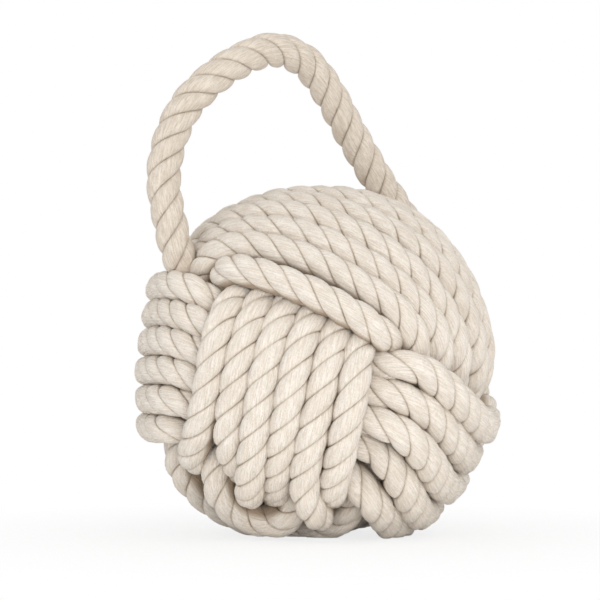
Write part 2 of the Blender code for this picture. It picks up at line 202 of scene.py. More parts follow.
# A three-strand rope along a path: the ring turns with the lay as it goes, is pressed sideways by
# its neighbours, swells toward one side of the ball and is kept above the floor.
def laidRopeTree(settings):
    tree = bpy.data.node_groups.new("laidRope", "GeometryNodeTree")
    addSockets(tree, settings["inputs"], [("Geometry", "Geometry")])
    wiring = Wiring(tree)
    given = wiring.node("NodeGroupInput").outputs
    path = wiring.node("GeometryNodeMeshToCurve", {"Mesh": given["Geometry"]}).outputs["Curve"]
    path = wiring.node("GeometryNodeResampleCurve", {
        "Curve": path, "Length": given["Spacing"]}, mode="LENGTH").outputs["Curve"]
    length = wiring.node("GeometryNodeSplineParameter").outputs["Length"]
    path = wiring.stored(path, "ropeLength", length)
    position = wiring.node("GeometryNodeInputPosition").outputs[0]
    path = wiring.stored(path, "ropeMiddle", position, "FLOAT_VECTOR")
    turn = wiring.maths("MULTIPLY", wiring.maths("DIVIDE", length, given["Lay Length"]), fullTurn)
    path = wiring.node("GeometryNodeSetCurveTilt", {"Curve": path, "Tilt": turn}).outputs["Curve"]
    ring = strandRing(wiring, given, settings)
    rope = wiring.node("GeometryNodeCurveToMesh", {
        "Curve": path, "Profile Curve": ring, "Fill Caps": True}).outputs["Mesh"]

    # the rope's own coordinates, which the cotton reads: two across and one along
    length = wiring.named("ropeLength")
    laid = wiring.maths("DIVIDE", wiring.maths("MULTIPLY", length, fullTurn), given["Lay Length"])
    around = wiring.maths("ADD", wiring.named("ropeAngle"), laid)
    ropePlace = wiring.joined(
        wiring.maths("MULTIPLY", wiring.maths("COSINE", around), given["Radius"]),
        wiring.maths("MULTIPLY", wiring.maths("SINE", around), given["Radius"]), length)
    rope = wiring.stored(rope, "ropePlace", ropePlace, "FLOAT_VECTOR")

    middle = wiring.named("ropeMiddle", "FLOAT_VECTOR")
    fromBall = wiring.vector("SUBTRACT", middle, given["Ball Middle"]).outputs["Vector"]
    outward = wiring.vector("NORMALIZE", fromBall).outputs["Vector"]
    position = wiring.node("GeometryNodeInputPosition").outputs[0]
    offset = wiring.vector("SUBTRACT", position, middle).outputs["Vector"]
    uneven = wiring.noise(wiring.named("ropePlace", "FLOAT_VECTOR"), {
        "W": given["Seed"], "Scale": settings["unevenScale"], "Detail": settings["unevenDetail"]}, "4D")
    uneven = wiring.maths("MULTIPLY", wiring.maths("SUBTRACT", uneven, 0.5), given["Unevenness"])
    toward = wiring.vector("DOT_PRODUCT", outward, given["Swell Toward"]).outputs["Value"]
    swell = wiring.maths("MULTIPLY", wiring.ranged(toward, *settings["swellRange"]), given["Swell"])
    offset = wiring.scaled(offset, wiring.maths("ADD", wiring.maths("ADD", uneven, swell), 1.0))
    lift = wiring.vector("DOT_PRODUCT", offset, outward).outputs["Value"]
    sideways = wiring.vector("SUBTRACT", offset, wiring.scaled(outward, lift)).outputs["Vector"]
    aside = wiring.scaled(sideways, given["Side Press"])
    width = wiring.maths("DIVIDE", wiring.vector("LENGTH", sideways).outputs["Value"], given["Radius"])
    bulge = wiring.maths("MULTIPLY", wiring.maths("MULTIPLY", width, width), given["Shoulder"])
    rise = wiring.scaled(outward, wiring.maths("MULTIPLY", lift, wiring.maths("ADD", bulge, 1.0)))
    rope = wiring.stored(rope, "facing", wiring.maths("DIVIDE", lift, given["Radius"]))
    pressed = wiring.vector("ADD", rise, aside).outputs["Vector"]
    x, y, z = wiring.split(wiring.vector("ADD", middle, pressed).outputs["Vector"])
    spot = wiring.joined(x, y, wiring.maths("MAXIMUM", z, given["Floor"]))
    rope = wiring.node("GeometryNodeSetPosition", {"Geometry": rope, "Position": spot}).outputs["Geometry"]
    for kind in ("GeometryNodeSetShadeSmooth", "GeometryNodeRealizeInstances"):
        rope = wiring.node(kind, {"Geometry": rope}).outputs["Geometry"]
    rope = wiring.node("GeometryNodeSetMaterial", {
        "Geometry": rope, "Material": given["Material"]}).outputs["Geometry"]
    wiring.node("NodeGroupOutput", {"Geometry": rope})
    return tree


def setInput(modifier, name, value):
    for item in modifier.node_group.interface.items_tree:
        if item.item_type == "SOCKET" and item.in_out == "INPUT" and item.name == name:
            modifier[item.identifier] = value


pathSettings = {
    "step": 0.002,
    "partsOfSpan": 12,
    "bellReach": 3,  # the softening's width, in times its softness
}


# Catmull-Rom through the route's points, then softened along its length so that the bends are round.
def softPath(route, softness, settings):
    step = settings["step"]
    points = np.array([place(*spot) for spot in route])
    ends = np.vstack([2 * points[0] - points[1], points, 2 * points[-1] - points[-2]])
    parts = np.linspace(0, 1, settings["partsOfSpan"], endpoint=False)[:, None]
    pieces = []
    for a, b, c, d in zip(ends, ends[1:], ends[2:], ends[3:]):
        square = (2 * a - 5 * b + 4 * c - d) * parts ** 2
        cube = (3 * b - a - 3 * c + d) * parts ** 3
        pieces.append(0.5 * (2 * b + (c - a) * parts + square + cube))
    line = np.vstack(pieces + [points[-1:]])
    along = np.concatenate([[0], np.cumsum(np.linalg.norm(np.diff(line, axis=0), axis=1))])
    even = np.linspace(0, along[-1], int(along[-1] / step) + 1)
    line = np.stack([np.interp(even, along, line[:, k]) for k in range(3)], axis=1)
    reach = max(1, int(settings["bellReach"] * softness / step))
    weights = np.exp(-0.5 * (np.arange(-reach, reach + 1) * step / softness) ** 2)
    weights /= weights.sum()
    padded = np.vstack([2 * line[0] - line[reach:0:-1], line, 2 * line[-1] - line[-2:-reach - 2:-1]])
    return np.stack([np.convolve(padded[:, k], weights, mode="valid") for k in range(3)], axis=1)


def makeRope(settings, path, material):
    mesh = bpy.data.meshes.new(settings["name"] + "-path")
    mesh.from_pydata([tuple(p) for p in path], [(k, k + 1) for k in range(len(path) - 1)], [])
    carrier = bpy.data.objects.new(settings["name"] + "-path", mesh)
    bpy.context.collection.objects.link(carrier)
    modifier = carrier.modifiers.new("laidRope", "NODES")
    modifier.node_group = ropeTree
    for name, value in settings["rope"].items():
        setInput(modifier, name, value)
    setInput(modifier, "Ball Middle", ballMiddle)
    setInput(modifier, "Material", material)
    bpy.context.view_layer.update()
    seen = carrier.evaluated_get(bpy.context.evaluated_depsgraph_get())
    rope = bpy.data.objects.new(settings["name"], bpy.data.meshes.new_from_object(seen))
    rope.data.name = settings["name"]
    bpy.context.collection.objects.link(rope)
    carrier.modifiers.remove(modifier)
    bpy.data.objects.remove(carrier)
    bpy.data.meshes.remove(mesh)
    return rope


ropeTree = laidRopeTree(ropeShape)
print("rope nodes made")

cottonPattern = {
    "alongStrand": (1.0, 1.0, 0.11),  # draws the fibres out along the rope
    "fibres": {"Scale": 1650.0, "Detail": 3.0, "Roughness": 0.65, "Distortion": 0.25},
    "yarns": {"Scale": 950.0, "Detail": 2.0, "Distortion": 0.3},
    "fuzz": {"Scale": 1100.0, "Detail": 4.0, "Roughness": 0.7},
    "clouds": {"Scale": 75.0, "Detail": 3.0},
    "lightShares": {"fibres": 0.65, "yarns": 0.1, "fuzz": 0.25},
    "lightRange": (0.43, 0.57),
    # painted shade: the rope's sides and inner half are darkened where neighbouring turns would shade them
    "sideShadeRange": (0.25, -0.45), "sideShadeShare": 0.8,  # the rope's sides and inner half
    "cloudRange": (0.45, 0.75), "cloudShare": 0.3,
    "seamRange": (0.80, 1.0), "seamPower": 2.0,
    # painted shade in the seams between strands, patchy with noise and stronger on the rope's sides
    "seamShadeNoise": (0.8, 1.2, 0.25, 0.8),
    "seamShadeFacing": (0.35, 0.9, 1.7, 0.75),
    # painted shade where packed turns meet
    "crevicePaintedShade": (0.26, -0.10, 0.0, 0.95),  # the dark where packed turns meet
    "heightShares": {"fibres": 0.9, "yarns": 0.6, "fuzz": 0.5},
    "bump": {"Strength": 1.0, "Distance": 0.0009},
    "roughRange": (0.3, 0.7, 0.95, 0.82),
    "inputs": [
        ("Light Cotton", "Color"), ("Plain Cotton", "Color"), ("Shade And Cloud Cotton", "Color"),
        ("Seam", "Color"), ("Packed", "Float"),
    ],
    "outputs": [("Colour", "Color"), ("Roughness", "Float"), ("Normal", "Vector")],
}


# Fibres, yarns, random tone and painted shade of laid cotton, from the rope's own coordinates.
def cottonTree(settings):
    tree = bpy.data.node_groups.new("laidCotton", "ShaderNodeTree")
    addSockets(tree, settings["inputs"], settings["outputs"])
    wiring = Wiring(tree)
    given = wiring.node("NodeGroupInput").outputs
    spot = wiring.node("ShaderNodeAttribute", attribute_name="ropePlace").outputs["Vector"]
    groove = wiring.node("ShaderNodeAttribute", attribute_name="groove").outputs["Fac"]
    facing = wiring.node("ShaderNodeAttribute", attribute_name="facing").outputs["Fac"]
    # Packed sets how much painted shade a rope gets on its sides and between turns
    turnedAway = wiring.maths("MULTIPLY", wiring.maths("SUBTRACT", 1.0, facing), given["Packed"])
    facing = wiring.maths("SUBTRACT", 1.0, turnedAway)
    strandSpot = wiring.vector("MULTIPLY", spot, settings["alongStrand"]).outputs["Vector"]
    fibres = wiring.noise(strandSpot, settings["fibres"])
    yarns = wiring.noise(strandSpot, settings["yarns"])
    fuzz = wiring.noise(spot, settings["fuzz"])
    clouds = wiring.noise(spot, settings["clouds"])

    def part(value, shares, name):
        return wiring.maths("MULTIPLY", value, settings[shares][name])

    light = wiring.maths("ADD", part(fibres, "lightShares", "fibres"), part(yarns, "lightShares", "yarns"))
    light = wiring.maths("ADD", light, part(fuzz, "lightShares", "fuzz"))
    colour = wiring.mixed(
        wiring.ranged(light, *settings["lightRange"]), given["Plain Cotton"], given["Light Cotton"])
    # painted shade on the sides and inner half of packed turns; the cloud noise gives random darker tone in
    # the same colour
    low = wiring.maths("MULTIPLY", wiring.ranged(facing, *settings["sideShadeRange"]), settings["sideShadeShare"])
    cloudy = wiring.maths(
        "MULTIPLY", wiring.ranged(clouds, *settings["cloudRange"]), settings["cloudShare"])
    shadeAndClouds = wiring.mixed(wiring.maths("MAXIMUM", low, cloudy), colour, given["Shade And Cloud Cotton"])
    edge = wiring.maths("POWER", wiring.ranged(groove, *settings["seamRange"]), settings["seamPower"])
    # painted shade in the seams between strands and where packed turns meet, patchy with noise
    seamShade = wiring.ranged(wiring.maths("ADD", clouds, fuzz), *settings["seamShadeNoise"])
    seamShade = wiring.maths("MULTIPLY", seamShade, edge)
    seamShade = wiring.maths("MULTIPLY", seamShade, wiring.ranged(facing, *settings["seamShadeFacing"]))
    seamShade = wiring.maths("MAXIMUM", seamShade, wiring.ranged(facing, *settings["crevicePaintedShade"]))
    seamed = wiring.mixed(seamShade, shadeAndClouds, given["Seam"])
    soft = wiring.maths("ADD", part(yarns, "heightShares", "yarns"), part(fuzz, "heightShares", "fuzz"))
    height = wiring.maths("ADD", part(fibres, "heightShares", "fibres"), soft)
    bump = wiring.node("ShaderNodeBump", {**settings["bump"], "Height": height}).outputs["Normal"]
    rough = wiring.ranged(fibres, *settings["roughRange"])
    wiring.node("NodeGroupOutput", {"Colour": seamed, "Roughness": rough, "Normal": bump})
    return tree


cottonGloss = {
    "Specular IOR Level": 0.25,
    "Sheen Weight": 0.25,
    "Sheen Roughness": 0.6,
    "Sheen Tint": (1.0, 0.96, 0.9, 1.0),
}


def makeCotton(settings):
    material = bpy.data.materials.new(settings["material"])
    material.use_nodes = True
    wiring = Wiring(material.node_tree)
    shader = material.node_tree.nodes["Principled BSDF"]
    cloth = wiring.node("ShaderNodeGroup", node_tree=cottonGroup)
    for name, value in settings["colours"].items():
        cloth.inputs[name].default_value = value
    cloth.inputs["Packed"].default_value = settings["packed"]
    for name, output in (("Base Color", "Colour"), ("Roughness", "Roughness"), ("Normal", "Normal")):
        wiring.feed(shader.inputs[name], cloth.outputs[output])
    for name, value in cottonGloss.items():
        shader.inputs[name].default_value = value
    return material


cottonGroup = cottonTree(cottonPattern)
print("cotton nodes made")

# The carrying loop follows part.py's line from 20 to 25 mm above its roots. Nearer the ball each
# end leans in from that line and runs on between the turns into the ball.
loopRoute = [
    (-44.0, 30.0, 18.0), (-51.0, 36.5, 21.0), (-57.0, 43.0, 26.5), (-61.0, 52.0, 32.5),
    (-64.2, 66.0, 35.4), (-67.2, 84.0, 35.8), (-64.4, 102.0, 35.8), (-56.8, 118.5, 35.2),
    (-44.5, 131.1, 31.3), (-31.0, 140.6, 23.7), (-16.9, 145.6, 13.3), (-3.3, 141.0, 2.4),
    (7.1, 128.5, -5.7), (15.6, 113.5, -11.7), (24.2, 98.2, -17.0), (34.0, 82.4, -21.6),
    (39.8, 74.0, -23.1), (45.2, 64.8, -23.6), (49.0, 54.8, -22.8), (50.5, 45.0, -20.8),
    (50.0, 35.5, -18.0),
]
loopSettings = {
    "name": "carry-loop-rope",
    "replaces": ["carry_loop"],
    "slot": "cotton_carry_loop",
    "material": "cotton-carry-loop",
    "softness": 0.004,
    "diameter": 0.016,
    "rope": {
        "Radius": 0.0080, "Lay Length": 0.0330, "Spacing": 0.0011, "Around": 54, "Side Press": 1.0,
        "Shoulder": 0.0, "Groove Depth": 0.31, "Floor": -1.0, "Unevenness": 0.10, "Seed": 4.0,
    },
    # painted shade: the loop is the same cotton as the turns, set darker all over because it gets no
    # painted side shade
    "colours": {
        "Light Cotton": (0.82, 0.74, 0.65, 1), "Plain Cotton": (0.63, 0.54, 0.44, 1),
        "Shade And Cloud Cotton": (0.60, 0.50, 0.39, 1), "Seam": (0.27, 0.19, 0.12, 1),
    },
    "packed": 0.0,  # free rope, with no packed turns beside it
    "blendAxis": (0.865193, 0.466392, 0.184172),
    "blendAt": (-0.062966, -0.03408, 0.126273),
    "blendFrom": -0.002,
    "blendTo": 0.022,
}


def makeLoop(settings):
    path = softPath(loopRoute, settings["softness"], pathSettings)
    rope = makeRope(settings, path, makeCotton(settings))
    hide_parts(*settings["replaces"])
    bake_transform(rope)


makeLoop(loopSettings)

# Each set of turns is one rope. The lines are this scene's own and not part.py's: they were settled
# beside each other beforehand and moved toward the edges between the sets that the photograph shows.
topRoute = [
    (-29.9, 29.6, -37.7), (-34.3, 37.2, -42.2), (-37.1, 45.8, -47.3), (-30.6, 56.9, -46.0),
    (-14.2, 66.8, -40.9), (5.2, 71.6, -33.9), (21.4, 72.1, -27.7), (34.9, 69.5, -24.8),
    (48.7, 60.9, -25.7), (59.9, 45.2, -29.5), (65.8, 27.1, -33.9), (65.1, 13.0, -34.8),
    (58.3, 4.8, -32.1), (51.3, -2.6, -31.5), (42.3, -8.9, -34.5), (29.7, -16.2, -40.8),
    (14.4, -23.0, -47.4), (4.8, -28.6, -55.9), (-3.8, -39.3, -61.5), (-15.1, -47.1, -59.8),
    (-29.9, -46.0, -57.2), (-34.6, -35.2, -55.9), (-28.8, -21.7, -47.5), (-31.8, -8.6, -43.0),
    (-38.7, 8.4, -40.9), (-42.8, 25.0, -39.3), (-46.1, 39.5, -38.4), (-41.8, 52.3, -36.2),
    (-28.3, 64.0, -32.2), (-9.6, 72.2, -25.7), (9.4, 75.3, -18.0), (26.6, 73.9, -12.5),
    (43.9, 66.5, -10.2), (59.5, 51.2, -11.5), (69.3, 31.2, -16.7), (71.9, 12.6, -22.0),
    (67.4, -0.1, -23.5), (60.0, -8.3, -24.2), (52.3, -15.9, -28.4), (39.9, -23.6, -34.2),
    (25.8, -33.0, -41.7), (21.1, -46.7, -49.5), (12.2, -56.5, -52.0), (-3.2, -60.4, -52.1),
    (-22.0, -55.0, -49.8), (-36.7, -48.5, -42.4), (-44.4, -39.7, -34.9), (-48.3, -28.0, -35.8),
    (-51.0, -10.9, -37.2), (-50.9, 7.1, -34.8), (-51.0, 23.9, -30.5), (-51.2, 39.0, -27.6),
    (-46.9, 53.2, -25.0), (-34.1, 65.4, -20.5), (-15.2, 73.9, -13.0), (5.8, 76.8, -4.3),
    (27.2, 73.7, 2.3), (48.0, 62.9, 4.1), (64.2, 44.4, 1.4), (73.5, 23.0, -3.7), (75.4, 4.4, -8.5),
    (69.9, -7.5, -11.6), (61.6, -15.8, -14.8), (51.3, -23.9, -19.3), (37.4, -32.9, -26.4),
    (25.1, -45.4, -36.0), (14.1, -60.6, -40.7), (3.0, -63.1, -40.7), (-13.2, -61.6, -40.6),
    (-35.0, -61.8, -42.0), (-50.0, -52.6, -36.3), (-56.6, -40.6, -31.2), (-57.2, -25.6, -27.8),
    (-57.0, -7.3, -26.4), (-56.7, 12.1, -22.5), (-56.1, 29.6, -18.3), (-55.0, 45.4, -15.4),
    (-47.1, 59.0, -11.5), (-31.4, 69.9, -4.8), (-11.6, 75.6, 4.2), (9.3, 75.4, 13.1),
    (31.1, 69.5, 18.8), (51.7, 56.0, 18.8), (66.9, 35.8, 14.4), (75.3, 13.9, 8.4),
    (75.3, -3.4, 3.2), (66.1, -14.3, -1.0), (52.2, -24.1, -6.5), (39.7, -37.2, -14.7),
    (39.5, -49.4, -25.4), (35.9, -63.9, -27.3), (18.4, -71.5, -30.5), (-3.2, -71.5, -34.5),
    (-23.1, -68.5, -33.7), (-38.8, -53.2, -29.5), (-47.7, -43.9, -23.1), (-51.0, -32.7, -18.8),
    (-53.4, -16.9, -15.8), (-58.2, 1.3, -12.8), (-59.2, 20.6, -8.5), (-57.3, 37.8, -4.8),
    (-53.0, 52.9, -1.0), (-41.3, 64.5, 5.1), (-24.0, 71.6, 13.8), (-4.7, 73.0, 22.9),
    (15.6, 68.8, 30.7), (37.2, 59.3, 34.9), (55.7, 43.1, 33.0), (67.9, 21.7, 28.4),
    (72.7, 1.9, 22.2), (69.0, -11.2, 16.5), (60.6, -22.3, 8.9), (49.2, -35.6, 0.5),
    (34.8, -48.4, -3.1), (24.8, -62.3, -9.9), (14.2, -68.4, -18.9), (-0.8, -68.9, -24.0),
    (-18.7, -64.4, -23.8), (-42.4, -63.8, -25.5), (-56.6, -52.5, -23.4), (-62.2, -38.2, -18.0),
    (-62.8, -22.5, -10.5), (-62.8, -4.5, -3.1), (-60.5, 15.2, 2.4), (-57.5, 32.8, 6.2),
    (-54.7, 48.3, 10.2), (-46.1, 60.1, 16.3), (-31.0, 67.1, 24.9), (-12.9, 68.5, 33.3),
    (6.3, 64.6, 41.1), (26.7, 55.4, 46.9), (45.0, 41.7, 47.3), (58.3, 23.4, 44.1),
    (63.8, 5.3, 40.3), (61.7, -7.3, 34.0), (55.9, -19.2, 25.8), (47.7, -36.8, 14.8),
    (34.3, -54.8, 7.4), (21.1, -68.0, -0.3), (8.6, -71.5, -9.0), (-5.5, -71.5, -14.1),
    (-24.7, -71.5, -16.0), (-42.1, -62.9, -14.6), (-52.5, -49.1, -12.3), (-57.4, -36.4, -5.6),
    (-59.7, -21.6, 2.3), (-60.2, -3.4, 9.7), (-57.7, 16.3, 14.7), (-54.3, 33.5, 18.0),
    (-51.3, 47.5, 22.8), (-42.8, 56.8, 29.6), (-29.0, 61.2, 37.8), (-12.0, 60.8, 45.5),
    (6.9, 55.3, 51.8), (26.6, 44.5, 55.4), (44.0, 30.3, 55.0), (54.6, 14.2, 52.6),
    (54.7, 1.3, 47.9), (49.9, -9.3, 41.3), (45.3, -25.1, 34.0), (36.8, -45.1, 25.3),
    (23.1, -60.3, 15.6), (8.5, -68.1, 4.7), (-3.3, -71.5, -1.7), (-18.0, -68.8, -5.2),
    (-34.4, -61.9, -5.1), (-49.6, -52.6, -1.4), (-58.8, -41.7, 5.1), (-60.2, -27.5, 12.4),
    (-59.0, -9.5, 20.2), (-55.3, 9.6, 25.3), (-51.8, 26.6, 28.1), (-48.9, 39.7, 31.9),
    (-45.1, 49.6, 39.2), (-34.4, 54.1, 46.3), (-18.4, 52.9, 53.9), (1.5, 46.9, 60.5),
    (20.8, 36.7, 63.8), (37.1, 25.4, 63.4), (45.3, 13.0, 60.4), (43.9, 2.7, 53.4),
    (38.9, -8.2, 47.2), (32.7, -23.5, 40.4), (27.5, -40.9, 37.5), (20.6, -57.0, 31.5),
    (11.1, -71.2, 19.6), (-7.3, -71.5, 9.3), (-27.5, -71.5, 4.9), (-46.7, -62.2, 6.8),
    (-59.1, -47.8, 15.5), (-59.6, -36.3, 21.6), (-54.2, -21.1, 26.5), (-50.0, -3.0, 33.7),
    (-45.3, 14.3, 35.1), (-39.9, 28.2, 33.3), (-38.9, 38.0, 39.6), (-36.9, 43.6, 53.0),
    (-22.3, 41.9, 64.0), (-0.6, 33.9, 71.0), (18.4, 23.8, 72.2), (30.7, 15.1, 68.7),
    (33.5, 11.9, 58.7), (32.5, 5.2, 48.6), (25.0, -7.2, 46.9), (12.6, -20.4, 45.9),
    (1.0, -36.0, 38.8), (-3.5, -53.2, 37.2), (-9.6, -66.8, 33.4), (-19.8, -70.4, 27.0),
    (-34.8, -65.3, 27.3), (-42.8, -52.5, 35.8), (-41.5, -39.1, 38.5), (-35.9, -24.9, 36.1),
    (-38.6, -4.2, 37.8),
]
frontRoute = [
    (-32.1, 51.6, 14.2), (-30.5, 50.5, -5.1), (-28.6, 47.4, -24.0), (-24.7, 44.2, -39.9),
    (-25.6, 43.3, -52.6), (-26.8, 36.5, -62.6), (-28.8, 17.1, -69.4), (-30.9, -4.5, -71.6),
    (-36.0, -20.0, -66.6), (-43.5, -25.4, -56.4), (-40.9, -22.7, -45.6), (-36.8, -22.2, -33.9),
    (-37.9, -30.9, -20.4), (-42.4, -36.3, -9.7), (-46.2, -39.3, 3.8), (-48.9, -41.8, 22.2),
    (-53.7, -39.2, 39.4), (-50.3, -28.1, 53.6), (-46.4, -12.1, 61.7), (-43.1, 6.7, 65.2),
    (-39.0, 22.9, 62.8), (-32.0, 32.5, 51.1), (-24.8, 39.0, 37.1), (-21.1, 49.1, 22.5),
    (-19.6, 55.4, 4.6), (-18.5, 55.4, -14.9), (-16.3, 52.7, -32.5), (-14.0, 49.2, -46.3),
    (-14.0, 42.5, -57.3), (-15.4, 29.7, -66.2), (-17.2, 10.8, -71.7), (-19.0, -9.3, -72.0),
    (-21.6, -24.8, -67.0), (-22.4, -33.9, -58.0), (-25.2, -40.5, -44.4), (-30.3, -43.6, -31.3),
    (-33.9, -44.3, -20.7), (-36.5, -46.8, -7.5), (-37.6, -48.9, 15.5), (-31.4, -45.0, 37.0),
    (-34.8, -39.6, 50.7), (-36.6, -27.6, 60.9), (-34.0, -9.4, 66.8), (-30.5, 8.7, 67.8),
    (-26.1, 22.5, 62.9), (-20.1, 33.4, 53.5), (-13.8, 44.8, 40.3), (-10.2, 54.4, 23.9),
    (-8.0, 59.2, 4.8), (-6.7, 58.9, -14.7), (-4.7, 56.3, -31.7), (-2.8, 53.6, -46.1),
    (-2.3, 46.2, -57.9), (-3.3, 31.5, -66.9), (-5.0, 11.5, -72.4), (-6.6, -8.6, -73.2),
    (-8.8, -22.6, -67.8), (-10.7, -30.5, -57.2), (-13.3, -43.2, -46.0), (-20.2, -51.3, -33.6),
    (-24.3, -52.6, -23.2), (-26.2, -52.9, -10.9), (-26.6, -54.6, 10.8), (-27.6, -56.6, 33.0),
    (-27.5, -51.5, 51.1), (-26.0, -35.4, 63.7), (-23.1, -14.7, 70.2), (-19.4, 3.8, 71.2),
    (-15.4, 17.9, 66.7), (-9.7, 29.1, 57.7), (-3.0, 41.8, 45.0), (1.0, 52.5, 29.3),
    (3.7, 58.6, 11.1), (5.2, 59.8, -8.5), (6.9, 57.8, -26.2), (8.8, 54.8, -40.8),
    (9.7, 48.2, -53.2), (9.1, 34.5, -63.7), (7.4, 14.8, -71.1), (6.4, -7.5, -73.7),
    (7.5, -29.0, -71.3), (7.8, -43.9, -63.2), (0.2, -48.4, -51.7), (-5.4, -50.8, -37.6),
    (-11.2, -53.0, -24.2), (-14.7, -56.1, -11.8), (-15.1, -59.4, 9.1), (-15.8, -56.0, 30.5),
    (-15.8, -51.4, 46.0), (-14.4, -40.2, 60.3), (-11.8, -22.1, 70.4), (-8.4, -3.3, 73.9),
    (-5.0, 11.4, 71.0), (0.1, 22.9, 62.0), (7.2, 35.6, 49.6), (11.8, 47.2, 35.0),
    (15.0, 55.0, 17.4), (17.1, 58.1, -2.1), (18.6, 57.7, -20.0), (20.4, 55.9, -35.1),
    (21.5, 49.8, -48.2), (21.3, 36.3, -59.8), (19.8, 16.9, -68.3), (18.9, -4.9, -71.6),
    (18.9, -23.6, -69.1), (16.7, -33.5, -59.9), (11.0, -40.5, -49.7), (7.1, -51.5, -37.2),
    (0.7, -57.3, -24.4), (-3.6, -59.8, -10.6), (-2.2, -61.3, 12.7), (3.6, -66.5, 36.1),
    (-0.6, -61.2, 49.8), (-3.7, -50.1, 58.9), (-1.0, -32.2, 68.7), (3.0, -13.0, 73.1),
    (6.3, 3.3, 71.1), (10.3, 16.6, 63.9), (17.2, 29.6, 52.7), (22.3, 41.0, 38.5),
    (25.9, 49.5, 20.5), (28.5, 53.1, 1.0), (30.0, 53.4, -16.0), (31.4, 52.9, -29.6),
    (32.7, 49.2, -41.6), (32.8, 38.4, -53.1), (32.0, 20.7, -62.9), (30.8, -0.4, -67.9),
    (30.8, -20.0, -67.5), (30.9, -34.7, -63.0), (32.7, -46.8, -53.4), (31.4, -56.3, -37.7),
    (20.0, -55.6, -21.4), (16.8, -52.4, -7.7), (13.5, -53.8, 4.7), (9.1, -56.2, 28.0),
    (8.8, -52.5, 52.7), (11.6, -39.5, 66.3), (14.5, -24.2, 73.3), (17.9, -7.2, 74.4),
    (19.5, 6.5, 68.0), (23.1, 16.9, 56.0), (29.4, 28.4, 43.3), (34.5, 39.1, 28.0),
    (38.3, 45.0, 9.2), (39.9, 46.2, -8.3), (40.8, 45.8, -22.1), (42.5, 45.1, -33.3),
    (43.9, 39.6, -44.4), (44.5, 26.5, -56.0), (43.4, 7.1, -63.1), (41.9, -12.4, -63.7),
    (42.8, -25.5, -59.3), (47.9, -32.2, -49.2), (49.0, -35.3, -36.1), (50.3, -39.4, -24.8),
    (50.7, -43.8, -14.1),
]
